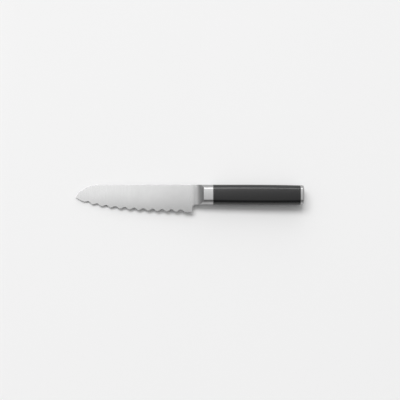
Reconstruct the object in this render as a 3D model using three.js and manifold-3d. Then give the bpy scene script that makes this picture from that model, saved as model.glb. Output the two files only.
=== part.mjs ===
// Serrated utility knife with a hidden tang, lying on the flat flank of its handle.
// Millimetres. X runs from the tip to the butt, Y towards the spine, Z up from the resting flank.
// The pieces are drawn around the handle axis, with x = 0 where the bolster meets the grip.
import * as THREE from "three";
import { mergeVertices } from "three/addons/utils/BufferGeometryUtils.js";
import Module from "manifold-3d";

// Blade
const edgeLength = 130;
const bladeHeight = 30.4;
const spineThickness = 2.2;
const tipSpineThickness = 1.5;
const edgeThickness = 1.0;
const tipDrop = 13.4;
const noseRadius = 33;
const neckLength = 4.4;
const choilRadius = 3.6;
const plungeLength = 1.4;

// Belly line of the edge, a Bezier curve from the heel to the tip
const heelRiseAngle = 1.5;
const heelPull = 60;
const tipAngle = 42;
const tipPull = 20;

// Waves along the edge, ground from the lower face only
const wavePitch = 10.4;
const waveDepthHeel = 2.6;
const waveDepthTip = 1.9;
const heelPlainEdge = 7.7;
const tipPlainEdge = 9.5;
const edgeLand = 0.2;
const toothBevel = 2.0;
const notchBevel = 3.4;

// Tang
const tangHeight = 10;
const tangSetback = 34;
const tongueHeight = 4;
const tongueLength = 9;

// Handle section: two flats, convex facets and narrow flanks
const handleThickness = 16;
const flankWidth = 5.8;
const facetBulge = 0.15;

// Bolster
const collarLength = 10.5;
const scoopLength = 10.9;
const scoopLip = 0.25;

// Grip
const gripLength = 96.8;
const gripHeightFront = 22.1;
const gripHeightSwell = 22.5;
const gripHeightRear = 21.6;
const flatWidthFront = 13.9;
const flatWidthSwell = 14.7;
const flatWidthRear = 13.6;
const swellFromFront = 52;
const buttDrop = 0.45;

// End cap and its dowels
const capThickness = 4;
const capEdgeRadius = 1.3;
const spigotLength = 2;
const dowelDiameter = 2.4;
const dowelDepthGrip = 5;
const dowelDepthCap = 2.2;

// Clamp in the butt
const studDiameter = 5;
const studProtrusion = 1.5;
const washerDiameter = 10;
const washerThickness = 1;
const nutAcrossFlats = 8;
const nutThickness = 4;

// Resin bed
const resinWall = 0.8;
const resinSetback = 1;

// Clearances
const brazeGap = 0.05;
const threadGap = 0.1;
const dowelGap = 0.1;
const looseGap = 0.3;

// Facets of the curved faces, and how far a cutter reaches past what it cuts
const facetSteps = 5;
const waveSteps = 10;
const plainEdgeSteps = 6;
const gripStations = 12;
const roundSteps = 4;
const arcSegments = 20;
const boreSegments = 24;
const scoopSegments = 112;
const overcut = 1;

// Places along the knife
const halfSpine = spineThickness / 2;
const halfHandle = handleThickness / 2;
const scoopRise = halfHandle - halfSpine;
const scoopRadius = (scoopLength ** 2 + scoopRise ** 2) / (2 * scoopRise);
const shoulderX = -collarLength;
const scoopStart = shoulderX - scoopLength;
const bolsterFront = scoopStart + Math.sqrt(scoopRadius ** 2 - (scoopRadius - scoopLip) ** 2);
const heelX = bolsterFront - neckLength;
const tipX = heelX - edgeLength;
const tangEnd = gripLength - tangSetback;
const tongueEnd = tangEnd + tongueLength;
const capRear = gripLength + capThickness;

// Places across the knife
const spineY = gripHeightFront / 2;
const neckY = -gripHeightFront / 2;
const heelY = spineY - bladeHeight;
const tipY = spineY - tipDrop;

const wasm = await Module();
wasm.setup();

// Closed solid from a geometry whose equal corners are merged
function solid(geometry) {
  const bare = geometry.clone();
  bare.deleteAttribute("normal");
  bare.deleteAttribute("uv");
  const merged = mergeVertices(bare, 1e-5);
  const vertProperties = new Float32Array(merged.attributes.position.array);
  const triVerts = new Uint32Array(merged.index.array);
  return new wasm.Manifold(new wasm.Mesh({ numProp: 3, vertProperties, triVerts }));
}

function meshOf(name, body, material) {
  const data = body.getMesh();
  const geometry = new THREE.BufferGeometry();
  geometry.setAttribute("position", new THREE.BufferAttribute(data.vertProperties, 3));
  geometry.setIndex(new THREE.BufferAttribute(data.triVerts, 1));
  geometry.computeVertexNormals();
  const mesh = new THREE.Mesh(geometry, new THREE.MeshStandardMaterial(material));
  mesh.name = name;
  return mesh;
}

// Box between two corners
function block(low, high) {
  const size = high.map((value, axis) => value - low[axis]);
  const geometry = new THREE.BoxGeometry(...size);
  geometry.translate(...high.map((value, axis) => (value + low[axis]) / 2));
  return solid(geometry);
}

// Round bar along X
function bar(radius, fromX, toX, y = 0, segments = boreSegments) {
  const geometry = new THREE.CylinderGeometry(radius, radius, toX - fromX, segments);
  geometry.rotateZ(Math.PI / 2);
  geometry.translate((fromX + toX) / 2, y, 0);
  return solid(geometry);
}

// Body through rings of corners that all run the same way round, with flat ends
function loft(rings) {
  const count = rings[0].length;
  const position = rings.flat(2);
  const index = [];
  for (let ring = 0; ring + 1 < rings.length; ring += 1) {
    for (let corner = 0; corner < count; corner += 1) {
      const a = ring * count + corner;
      const b = ring * count + ((corner + 1) % count);
      index.push(a, b, b + count, a, b + count, a + count);
    }
  }
  const last = (rings.length - 1) * count;
  for (let corner = 1; corner + 1 < count; corner += 1) {
    index.push(0, corner + 1, corner);
    index.push(last, last + corner, last + corner + 1);
  }
  const geometry = new THREE.BufferGeometry();
  geometry.setAttribute("position", new THREE.Float32BufferAttribute(position, 3));
  geometry.setIndex(index);
  return solid(geometry);
}

// One ring of the handle: a quarter from the flat to the flank, mirrored to all four
function handleRing(x, height, flatWidth, centreY, inset = 0) {
  const flatEnd = new THREE.Vector2(flatWidth / 2, halfHandle);
  const flankEnd = new THREE.Vector2(height / 2, flankWidth / 2);
  const chord = flankEnd.clone().sub(flatEnd);
  const outward = new THREE.Vector2(-chord.y, chord.x).normalize();
  const yScale = (height / 2 - inset) / (height / 2);
  const zScale = (halfHandle - inset) / halfHandle;
  const quarter = [];
  for (let step = 0; step <= facetSteps; step += 1) {
    const t = step / facetSteps;
    const point = flatEnd.clone().addScaledVector(chord, t);
    point.addScaledVector(outward, 4 * facetBulge * t * (1 - t));
    quarter.push([point.x * yScale, point.y * zScale]);
  }
  const back = [...quarter].reverse();
  return [
    ...back.map(([y, z]) => [x, centreY + y, z]),
    ...quarter.map(([y, z]) => [x, centreY - y, z]),
    ...back.map(([y, z]) => [x, centreY - y, -z]),
    ...quarter.map(([y, z]) => [x, centreY + y, -z]),
  ];
}

// Half thickness of the flat-ground blade
function groundHalf(x, y) {
  const tipLoss = ((spineThickness - tipSpineThickness) * (heelX - x)) / edgeLength;
  const edgeLoss = ((spineThickness - edgeThickness) * (spineY - y)) / bladeHeight;
  return halfSpine - (tipLoss + edgeLoss) / 2;
}

// Belly curve and the waves cut into it, as stations from the heel to the tip
const heelAngle = THREE.MathUtils.degToRad(heelRiseAngle);
const pointAngle = THREE.MathUtils.degToRad(tipAngle);
const belly = new THREE.CubicBezierCurve(
  new THREE.Vector2(heelX, heelY),
  new THREE.Vector2(heelX - heelPull * Math.cos(heelAngle), heelY + heelPull * Math.sin(heelAngle)),
  new THREE.Vector2(tipX + tipPull * Math.cos(pointAngle), tipY - tipPull * Math.sin(pointAngle)),
  new THREE.Vector2(tipX, tipY),
);
const bellyLength = belly.getLength();
const waveCount = Math.floor((bellyLength - heelPlainEdge - tipPlainEdge) / wavePitch);
const wavesEnd = heelPlainEdge + waveCount * wavePitch;

function edgeStation(run) {
  const share = run / bellyLength;
  const base = belly.getPointAt(share);
  const along = belly.getTangentAt(share);
  const inward = new THREE.Vector2(along.y, -along.x);
  const waved = run > heelPlainEdge && run < wavesEnd;
  const phase = waved ? (run - heelPlainEdge) / wavePitch : 0;
  const depth = THREE.MathUtils.lerp(waveDepthHeel, waveDepthTip, share);
  const cut = (depth * (1 - Math.cos(2 * Math.PI * phase))) / 2;
  const bevel = toothBevel + (notchBevel - toothBevel) * Math.abs(Math.sin(Math.PI * phase));
  return { edge: base.clone().addScaledVector(inward, cut), along, inward, bevel };
}

const edgeStations = [edgeStation(0)];
for (let step = 0; step <= waveCount * waveSteps; step += 1) {
  edgeStations.push(edgeStation(heelPlainEdge + (step * wavePitch) / waveSteps));
}
for (let step = 1; step <= plainEdgeSteps; step += 1) {
  edgeStations.push(edgeStation(THREE.MathUtils.lerp(wavesEnd, bellyLength, step / plainEdgeSteps)));
}

// Outline of the blade with its neck, shoulder, tang and tongue
function bladeOutline() {
  const shape = new THREE.Shape();
  const noseX = tipX + Math.sqrt(noseRadius ** 2 - (noseRadius - tipDrop) ** 2);
  const noseY = spineY - noseRadius;
  const noseAngle = Math.atan2(tipY - noseY, tipX - noseX);
  shape.moveTo(tipX, tipY);
  shape.absarc(noseX, noseY, noseRadius, noseAngle, Math.PI / 2, true);
  shape.lineTo(shoulderX, spineY);
  shape.lineTo(shoulderX, tangHeight / 2);
  shape.lineTo(tangEnd, tangHeight / 2);
  shape.lineTo(tangEnd, tongueHeight / 2);
  shape.lineTo(tongueEnd, tongueHeight / 2);
  shape.lineTo(tongueEnd, -tongueHeight / 2);
  shape.lineTo(tangEnd, -tongueHeight / 2);
  shape.lineTo(tangEnd, -tangHeight / 2);
  shape.lineTo(shoulderX, -tangHeight / 2);
  shape.lineTo(shoulderX, neckY);
  shape.absarc(heelX + choilRadius, neckY - choilRadius, choilRadius, Math.PI / 2, Math.PI, false);
  edgeStations.slice(0, -1).forEach(({ edge }) => shape.lineTo(edge.x, edge.y));
  return shape;
}

// What the flat grind takes off one face, running out in the plunge beside the neck
function grindCut(side) {
  const top = spineY + overcut;
  const low = heelY - overcut;
  const clear = halfSpine + overcut;
  const ring = (x, topHalf, lowHalf) => [
    [x, top, topHalf * side],
    [x, low, lowHalf * side],
    [x, low, (clear + overcut) * side],
    [x, top, (clear + overcut) * side],
  ];
  const front = tipX - overcut;
  const rings = [
    ring(front, groundHalf(front, top), groundHalf(front, low)),
    ring(heelX, groundHalf(heelX, top), groundHalf(heelX, low)),
    ring(heelX + plungeLength, clear, clear),
  ];
  return loft(side > 0 ? rings.map((corners) => corners.reverse()) : rings);
}

// What the serration grind takes off the lower face, a ribbon that follows the waves
function serrationCut() {
  const first = edgeStations[0];
  const last = edgeStations[edgeStations.length - 1];
  const beforeHeel = { ...first, edge: first.edge.clone().addScaledVector(first.along, -overcut) };
  const pastTip = { ...last, edge: last.edge.clone().addScaledVector(last.along, overcut) };
  const rings = [beforeHeel, ...edgeStations, pastTip].map(({ edge, inward, bevel }) => {
    const half = groundHalf(edge.x, edge.y);
    const slope = (2 * half - edgeLand) / bevel;
    const outer = edge.clone().addScaledVector(inward, -overcut);
    const inner = edge.clone().addScaledVector(inward, bevel + overcut);
    const outerZ = half - edgeLand + slope * overcut;
    const innerZ = -half - slope * overcut;
    return [
      [outer.x, outer.y, outerZ],
      [inner.x, inner.y, innerZ],
      [outer.x, outer.y, innerZ],
    ];
  });
  return loft(rings);
}

function bladeBody() {
  const options = { depth: spineThickness, bevelEnabled: false, curveSegments: arcSegments };
  const plate = new THREE.ExtrudeGeometry(bladeOutline(), options);
  plate.translate(0, 0, -halfSpine);
  return solid(plate).subtract(grindCut(1)).subtract(grindCut(-1)).subtract(serrationCut());
}

function bolsterBody() {
  const section = (x) => handleRing(x, gripHeightFront, flatWidthFront, 0);
  let body = loft([section(bolsterFront), section(0)]);
  const reach = gripHeightFront + 2 * overcut;
  for (const side of [1, -1]) {
    const wheel = new THREE.CylinderGeometry(scoopRadius, scoopRadius, reach, scoopSegments);
    wheel.translate(scoopStart, 0, side * (halfSpine + scoopRadius));
    body = body.subtract(solid(wheel));
  }
  const slotZ = halfSpine + brazeGap;
  const tangY = tangHeight / 2 + looseGap;
  const slot = block([bolsterFront - overcut, -reach / 2, -slotZ], [shoulderX, reach / 2, slotZ]);
  const mortise = block([shoulderX - overcut, -tangY, -slotZ], [overcut, tangY, slotZ]);
  return body.subtract(slot).subtract(mortise);
}

// Grip outline: height, flat and centre line at a place along it
function gripRing(x) {
  const rest = x < swellFromFront
    ? 1 - x / swellFromFront
    : (x - swellFromFront) / (gripLength - swellFromFront);
  const fullness = 1 - rest ** 2;
  const endHeight = x < swellFromFront ? gripHeightFront : gripHeightRear;
  const endFlat = x < swellFromFront ? flatWidthFront : flatWidthRear;
  const height = THREE.MathUtils.lerp(endHeight, gripHeightSwell, fullness);
  const flat = THREE.MathUtils.lerp(endFlat, flatWidthSwell, fullness);
  return handleRing(x, height, flat, (-buttDrop * x) / gripLength);
}

// Fits inside the grip
const boreRadius = studDiameter / 2 + looseGap;
const nutCornerRadius = nutAcrossFlats / Math.sqrt(3);
const counterboreRadius = Math.max(washerDiameter / 2, nutCornerRadius) + looseGap;
const clampLength = washerThickness + nutThickness + studProtrusion;
const counterboreFloor = gripLength - spigotLength - looseGap - clampLength;
const studEnd = counterboreFloor + clampLength;
const forkStart = tangEnd + looseGap;
const slotEnd = tangEnd + looseGap;
const resinY = tangHeight / 2 + looseGap + resinWall;
const resinZ = halfSpine + looseGap + resinWall;
const dowelOffset = (counterboreRadius + gripHeightRear / 2 - buttDrop) / 2;

function dowelHoles(body, fromX, toX) {
  const radius = dowelDiameter / 2 + dowelGap;
  return [dowelOffset, -dowelOffset].reduce((left, y) => left.subtract(bar(radius, fromX, toX, y)), body);
}

function gripBody() {
  const rings = [];
  for (let station = 0; station <= gripStations; station += 1) {
    rings.push(gripRing((gripLength * station) / gripStations));
  }
  const slotY = resinY + looseGap;
  const slotZ = resinZ + looseGap;
  const body = loft(rings)
    .subtract(block([-overcut, -slotY, -slotZ], [slotEnd, slotY, slotZ]))
    .subtract(bar(boreRadius, slotEnd - overcut, gripLength + overcut))
    .subtract(bar(counterboreRadius, counterboreFloor, gripLength + overcut));
  return dowelHoles(body, gripLength - dowelDepthGrip, gripLength + overcut);
}

function capBody() {
  const section = (x, inset) => handleRing(x, gripHeightRear, flatWidthRear, -buttDrop, inset);
  const rings = [section(gripLength, 0)];
  for (let step = 0; step <= roundSteps; step += 1) {
    const angle = (Math.PI / 2) * (step / roundSteps);
    const x = capRear - capEdgeRadius * (1 - Math.sin(angle));
    rings.push(section(x, capEdgeRadius * (1 - Math.cos(angle))));
  }
  const spigot = bar(counterboreRadius - looseGap, gripLength - spigotLength, gripLength + overcut);
  return dowelHoles(loft(rings).add(spigot), gripLength - overcut, gripLength + dowelDepthCap);
}

function resinBody() {
  const tangY = tangHeight / 2 + looseGap;
  const tangZ = halfSpine + looseGap;
  const bed = block([resinSetback, -resinY, -resinZ], [tangEnd - resinSetback, resinY, resinZ]);
  return bed.subtract(block([-overcut, -tangY, -tangZ], [tangEnd, tangY, tangZ]));
}

function studBody() {
  const reach = studDiameter / 2 + overcut;
  const forkZ = halfSpine + brazeGap;
  const fork = block([forkStart - overcut, -reach, -forkZ], [tongueEnd + looseGap, reach, forkZ]);
  return bar(studDiameter / 2, forkStart, studEnd).subtract(fork);
}

function washerBody() {
  const rear = counterboreFloor + washerThickness;
  const ring = bar(washerDiameter / 2, counterboreFloor, rear);
  return ring.subtract(bar(boreRadius, counterboreFloor - overcut, rear + overcut));
}

function nutBody() {
  const front = counterboreFloor + washerThickness;
  const rear = front + nutThickness;
  const hexagon = bar(nutCornerRadius, front, rear, 0, 6);
  return hexagon.subtract(bar(studDiameter / 2 + threadGap, front - overcut, rear + overcut));
}

function dowelBody(y) {
  const front = gripLength - dowelDepthGrip + dowelGap;
  const rear = gripLength + dowelDepthCap - dowelGap;
  return bar(dowelDiameter / 2, front, rear, y);
}

const bladeSteel = { color: 0xcfd0d1, roughness: 0.36, metalness: 1 };
const bolsterSteel = { color: 0xc6c7c8, roughness: 0.3, metalness: 1 };
const plainSteel = { color: 0x9a9c9e, roughness: 0.45, metalness: 1 };
const blackComposite = { color: 0x2a2b2d, roughness: 0.5, metalness: 0 };
const castResin = { color: 0x8a6a34, roughness: 0.4, metalness: 0 };

const knife = new THREE.Group();
knife.name = "serrated_knife";
knife.add(
  meshOf("blade", bladeBody(), bladeSteel),
  meshOf("bolster", bolsterBody(), bolsterSteel),
  meshOf("grip", gripBody(), blackComposite),
  meshOf("end_cap", capBody(), bolsterSteel),
  meshOf("tang_resin", resinBody(), castResin),
  meshOf("tang_stud", studBody(), plainSteel),
  meshOf("clamp_washer", washerBody(), plainSteel),
  meshOf("clamp_nut", nutBody(), plainSteel),
  meshOf("cap_dowel_upper", dowelBody(dowelOffset), plainSteel),
  meshOf("cap_dowel_lower", dowelBody(-dowelOffset), plainSteel),
);

// The origin is under the middle of the whole knife, on the surface that it lies on
const extent = new THREE.Box3().setFromObject(knife);
const middle = extent.getCenter(new THREE.Vector3());
knife.position.set(-middle.x, -middle.y, -extent.min.z);

export default knife;
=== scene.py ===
import math

import bmesh
import bpy
from bpy.props import FloatProperty, FloatVectorProperty, IntProperty, PointerProperty
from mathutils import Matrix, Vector, geometry, kdtree


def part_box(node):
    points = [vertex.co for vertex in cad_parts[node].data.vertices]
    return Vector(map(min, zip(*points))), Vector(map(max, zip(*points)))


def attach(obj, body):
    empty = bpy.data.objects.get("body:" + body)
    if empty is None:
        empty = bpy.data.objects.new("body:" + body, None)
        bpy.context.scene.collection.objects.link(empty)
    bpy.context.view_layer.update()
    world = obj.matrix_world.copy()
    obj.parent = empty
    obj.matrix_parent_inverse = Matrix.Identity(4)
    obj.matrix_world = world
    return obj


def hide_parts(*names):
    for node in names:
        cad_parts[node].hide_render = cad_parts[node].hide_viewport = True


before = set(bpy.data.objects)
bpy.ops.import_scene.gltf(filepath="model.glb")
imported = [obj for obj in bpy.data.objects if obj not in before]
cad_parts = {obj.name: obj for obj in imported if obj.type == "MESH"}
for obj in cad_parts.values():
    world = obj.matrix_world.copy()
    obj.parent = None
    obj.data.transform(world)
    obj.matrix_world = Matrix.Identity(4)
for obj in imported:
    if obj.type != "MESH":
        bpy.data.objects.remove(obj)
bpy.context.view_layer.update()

bl_info = {
    "name": "Serrated knife",
    "version": (1, 0, 0),
    "blender": (4, 5, 0),
    "location": "View3D > Sidebar > Knife",
    "description": "Dresses the solids of a serrated utility knife with finished meshes and materials",
    "category": "Object",
}

MM = 0.001
BODY = "root"

# Places that the frame gives: the handle axis, and where the pieces begin and end along the knife
STUD_LOW, STUD_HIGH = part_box("tang_stud")
BLADE_LOW, BLADE_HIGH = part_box("blade")
BOLSTER_LOW, BOLSTER_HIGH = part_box("bolster")
GRIP_LOW, GRIP_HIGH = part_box("grip")
CAP_LOW, CAP_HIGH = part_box("end_cap")
WASHER_LOW, WASHER_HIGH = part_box("clamp_washer")
RESIN_LOW, RESIN_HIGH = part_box("tang_resin")
DOWEL_LOW, DOWEL_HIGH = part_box("cap_dowel_upper")
DOWEL_CENTRES = [sum(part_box(node), Vector()) / 2 for node in ("cap_dowel_upper", "cap_dowel_lower")]
STUD_RADIUS = (STUD_HIGH.z - STUD_LOW.z) / 2
WASHER_RADIUS = (WASHER_HIGH.z - WASHER_LOW.z) / 2
DOWEL_RADIUS = (DOWEL_HIGH.z - DOWEL_LOW.z) / 2
AXIS_Y = (STUD_LOW.y + STUD_HIGH.y) / 2
AXIS_Z = (STUD_LOW.z + STUD_HIGH.z) / 2
SPINE_Y = BLADE_HIGH.y
HEEL_Y = BLADE_LOW.y
TIP_X = BLADE_LOW.x
HALF_SPINE = (BLADE_HIGH.z - BLADE_LOW.z) / 2
HALF_HANDLE = (BOLSTER_HIGH.z - BOLSTER_LOW.z) / 2
NECK_Y = BOLSTER_LOW.y

# Edges that turn by more than this stay crisp
CREASE_ANGLE = math.radians(34)

# The room: its even level, the way to the window light, and how far the paper goes on every side
ROOM_LEVEL = 0.165
WINDOW_WAY = Vector((0, 0.475, 0.88)).normalized()
PAPER_REACH = 30.0

# Each glow of the room: the way it comes from, how tight it is, and its level
ROOM_GLOWS = (
    ((-0.08, 0.45, 0.89), 6.0, 0.62),
    ((-0.09, 0.13, 0.99), 350.0, 0.8),
    ((-0.17, 0.13, 0.98), 350.0, 0.8),
    ((0.0, 0.95, 0.30), 6.0, 1.15),
    ((-0.80, 0.05, 0.60), 5.0, 0.27),
    ((0.75, -0.10, 0.65), 5.0, 0.35),
)


def hex_linear(code):
    """Linear colour of an sRGB hex value."""
    channels = [int(code[i:i + 2], 16) / 255 for i in (1, 3, 5)]
    return [c / 12.92 if c <= 0.04045 else ((c + 0.055) / 1.055) ** 2.4 for c in channels]


def length(name, value, description):
    """Length property in metres, its default given in millimetres."""
    return FloatProperty(
        name=name, description=description, default=value * MM, unit="LENGTH", precision=5
    )


def angle(name, degrees, description):
    """Angle property, its default given in degrees."""
    return FloatProperty(name=name, description=description, default=math.radians(degrees), subtype="ANGLE")


def colour(name, code, description):
    """Colour property with an sRGB hex default."""
    return FloatVectorProperty(
        name=name, description=description, default=hex_linear(code), subtype="COLOR", size=3, min=0, max=1
    )


class BladeSettings(bpy.types.PropertyGroup):
    """Sizes and colours of the blade."""
    edge_length: length("Edge length", 130, "From the tip to the heel, along the knife")
    tip_drop: length("Tip drop", 13.4, "From the spine down to the point")
    nose_radius: length("Nose radius", 33, "Arc from the spine to the point")
    choil_radius: length("Choil radius", 3.6, "Hollow between the heel and the neck")
    tip_thickness: length("Tip thickness", 1.5, "Thickness of the spine line at the point")
    edge_thickness: length("Edge thickness", 1.0, "Thickness behind the waves at the heel")
    spine_round: length("Spine rounding", 0.02, "Radius of the eased spine edges")
    heel_pull: length("Heel pull", 60, "Bezier handle of the belly at the heel")
    tip_pull: length("Tip pull", 20, "Bezier handle of the belly at the tip")
    heel_angle: angle("Heel angle", 1.5, "Rise of the belly at the heel")
    tip_angle: angle("Tip angle", 42, "Rise of the belly at the tip")
    grind_power: FloatProperty(
        name="Grind power", description="How convex the ground faces are, 1 is flat", default=2.6, min=1
    )
    wave_pitch: length("Wave pitch", 10.4, "Distance from notch to notch along the edge")
    wave_depth_heel: length("Wave depth at the heel", 2.6, "Depth of the notches at the heel end")
    wave_depth_tip: length("Wave depth at the tip", 1.9, "Depth of the notches at the tip end")
    heel_plain: length("Plain heel", 7.7, "Edge without waves at the heel")
    wave_count: IntProperty(name="Waves", description="Number of notches", default=11, min=1)
    tooth_bevel: length("Tooth bevel", 2.0, "Width of the serration grind at the teeth")
    notch_bevel: length("Notch bevel", 3.4, "Width of the serration grind at the notches")
    edge_land: length("Edge land", 0.2, "Thickness left at the cutting edge")
    steel: colour("Steel", "#c2c2c2", "Satin ground stainless steel")


class HandleSettings(bpy.types.PropertyGroup):
    """Sizes and colours of the bolster, grip and end cap."""
    flank_width: length("Flank width", 5.8, "Narrow face at the top and bottom of the section")
    facet_bulge: length("Facet bulge", 0.45, "How far the grip's facets stand out from flat")
    steel_bulge: length("Steel bulge", 0.3, "How far the facets of the steel pieces stand out from flat")
    flat_crown: length("Flat crown", 0.24, "How far the grip's flats fall off to their arrises")
    steel_crown: length("Steel crown", 0.12, "How far the steel pieces' flats fall off to their arrises")
    arris_soft: length("Arris softness", 0.7, "Length of the grip's eased arrises beside their corners")
    steel_arris: length("Steel arris", 0.7, "Length of the eased arrises of the steel pieces")
    flank_soft: length("Flank softness", 1.0, "Length of each eased corner beside the flank")
    edge_break: length("Edge break", 0.12, "Eased rim at the joints between the pieces")
    front_height: length("Front height", 22.1, "Height of the section at the bolster")
    swell_height: length("Swell height", 22.5, "Height of the section at the fullest place")
    rear_height: length("Rear height", 21.6, "Height of the section at the butt")
    front_flat: length("Front flat", 13.9, "Width of the flat at the bolster")
    swell_flat: length("Swell flat", 14.7, "Width of the flat at the fullest place")
    rear_flat: length("Rear flat", 13.6, "Width of the flat at the butt")
    swell_from_front: length("Swell place", 52, "From the bolster to the fullest place")
    butt_drop: length("Butt drop", 0.45, "How far the centre line falls towards the butt")
    collar_length: length("Collar length", 10.5, "Straight band of the bolster")
    scoop_length: length("Scoop length", 10.9, "Hollow from the blade up to the band")
    tang_height: length("Tang height", 10, "Height of the tang")
    tongue_height: length("Tongue height", 4, "Height of the tongue behind the tang")
    fit_gap: length("Fit gap", 0.3, "Clearance round the hidden pieces")
    dowel_gap: length("Dowel gap", 0.1, "Clearance round the dowels")
    braze_gap: length("Braze gap", 0.05, "Clearance between the blade and the bolster")
    cap_round: length("Cap rounding", 1.3, "Radius of the rear edges of the end cap")
    composite: colour("Composite", "#0a0a0b", "Black fibre composite")
    fitting: colour("Fittings", "#b1b1b1", "Brushed stainless steel")


class StageSettings(bpy.types.PropertyGroup):
    """Camera, light and floor."""
    camera_distance: length("Camera distance", 1100, "From the camera to the middle of the handle")
    view_width: length("View width", 445.6, "Width that the picture covers at the knife")
    camera_x: length("Camera X", 11.55, "Sideways place of the middle of the picture")
    camera_y: length("Camera Y", -1.7, "Place of the middle of the picture across the knife")
    camera_lean: angle("Camera lean", 7, "How far the camera leans from upright towards the edge side")
    window_width: length("Window width", 6000, "Long side of the window light")
    window_height: length("Window height", 3000, "Short side of the window light")
    window_distance: length("Window distance", 8000, "From the window light to the knife")
    window_shift: length("Window shift", -2000, "Sideways place of the window light's middle")
    window_power: FloatProperty(name="Window power", description="Power of the window light", default=375.0)
    sky_strength: FloatProperty(name="Sky strength", description="Strength of the room light", default=1.0)
    blade_slope: angle("Blade slope", 2.6, "Rise of the paper to the tip, which narrows the shadow there")
    handle_slope: angle("Handle slope", 1.5, "Fall of the paper to the butt, which widens the shadow there")
    slope_reach: length("Slope reach", 220, "Half the length of the sloping paper")
    floor: colour("Floor", "#f2f2f2", "Pale paper sweep")


def add_node(tree, kind, inputs=None, **settings):
    """Node with its settings; an input takes a value, a socket or the first output of a node."""
    made = tree.nodes.new(kind)
    for name, value in settings.items():
        setattr(made, name, value)
    for key, value in (inputs or {}).items():
        if isinstance(value, bpy.types.Node):
            value = value.outputs[0]
        if isinstance(value, bpy.types.NodeSocket):
            tree.links.new(value, made.inputs[key])
        else:
            made.inputs[key].default_value = value
    return made


def new_material(name):
    """Empty node material and its tree."""
    material = bpy.data.materials.new(name)
    material.use_nodes = True
    material.node_tree.nodes.clear()
    return material, material.node_tree


def close_material(tree, shader):
    add_node(tree, "ShaderNodeOutputMaterial", {"Surface": shader})


def satin_ground_steel(steel, neck_x):
    """Martensitic stainless steel, ground flat and satin finished across the blade. The neck is linished
    along the knife, together with the bolster.
    The eye sees a soft bright sheet with very fine lines from spine to edge, and a faint cloudiness."""
    material, tree = new_material("satin_ground_stainless_steel")
    place = add_node(tree, "ShaderNodeTexCoord").outputs["Object"]
    line_pitch = 0.30 * MM
    line_run = 14 * MM
    line_depth = 0.02 * MM
    cloud_size = 18 * MM
    lines_at = add_node(
        tree, "ShaderNodeMapping", {"Vector": place, "Scale": (1 / line_pitch, 1 / line_run, 1 / line_run)}
    )
    lines = add_node(tree, "ShaderNodeTexNoise", {"Vector": lines_at, "Scale": 1.0, "Detail": 3.0})
    clouds = add_node(tree, "ShaderNodeTexNoise", {"Vector": place, "Scale": 1 / cloud_size, "Detail": 2.0})
    shade = add_node(
        tree, "ShaderNodeMapRange",
        {"Value": clouds, "From Min": 0.3, "From Max": 0.7, "To Min": 0.97, "To Max": 1.02},
    )
    base = add_node(tree, "ShaderNodeVectorMath", {0: tuple(steel), "Scale": shade}, operation="SCALE")
    rough = add_node(
        tree, "ShaderNodeMapRange",
        {"Value": lines, "From Min": 0.25, "From Max": 0.75, "To Min": 0.18, "To Max": 0.24},
    )
    along = add_node(tree, "ShaderNodeSeparateXYZ", {0: place}).outputs["X"]
    linish_start = neck_x - 7 * MM
    linish_full = neck_x + 1 * MM
    linish_roughness = 0.11
    linish_stretch = 0.92
    neck = add_node(
        tree, "ShaderNodeMapRange", {"Value": along, "From Min": linish_start, "From Max": linish_full}
    )
    neck_rough = add_node(
        tree, "ShaderNodeMath", {0: neck, 1: linish_roughness, 2: rough}, operation="MULTIPLY_ADD"
    )
    stretch = add_node(tree, "ShaderNodeMath", {0: neck, 1: linish_stretch}, operation="MULTIPLY")
    tangent = add_node(tree, "ShaderNodeCombineXYZ", {"X": 1.0})
    bump = add_node(tree, "ShaderNodeBump", {"Height": lines, "Strength": 0.10, "Distance": line_depth})
    shader = add_node(
        tree, "ShaderNodeBsdfPrincipled",
        {
            "Base Color": base, "Metallic": 1.0, "Roughness": neck_rough, "Normal": bump,
            "Anisotropic": stretch, "Tangent": tangent,
        },
    )
    close_material(tree, shader)
    return material


def brushed_fitting_steel(steel):
    """Stainless bar stock, linished round the handle section.
    The eye sees tight parallel lines across the length of the knife and crisp bright arrises."""
    material, tree = new_material("brushed_stainless_steel")
    place = add_node(tree, "ShaderNodeTexCoord").outputs["Object"]
    line_pitch = 0.22 * MM
    line_run = 9 * MM
    line_depth = 0.02 * MM
    lines_at = add_node(
        tree, "ShaderNodeMapping", {"Vector": place, "Scale": (1 / line_pitch, 1 / line_run, 1 / line_run)}
    )
    lines = add_node(tree, "ShaderNodeTexNoise", {"Vector": lines_at, "Scale": 1.0, "Detail": 2.0})
    base = add_node(
        tree, "ShaderNodeMapRange",
        {"Value": lines, "From Min": 0.25, "From Max": 0.75, "To Min": 0.94, "To Max": 1.04},
    )
    tint = add_node(tree, "ShaderNodeVectorMath", {0: tuple(steel), "Scale": base}, operation="SCALE")
    rough = add_node(
        tree, "ShaderNodeMapRange",
        {"Value": lines, "From Min": 0.25, "From Max": 0.75, "To Min": 0.28, "To Max": 0.32},
    )
    tangent = add_node(tree, "ShaderNodeCombineXYZ", {"X": 1.0})
    bump = add_node(tree, "ShaderNodeBump", {"Height": lines, "Strength": 0.03, "Distance": line_depth})
    shader = add_node(
        tree, "ShaderNodeBsdfPrincipled",
        {
            "Base Color": tint, "Metallic": 1.0, "Roughness": rough, "Normal": bump,
            "Anisotropic": 0.4, "Tangent": tangent,
        },
    )
    close_material(tree, shader)
    return material


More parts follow.
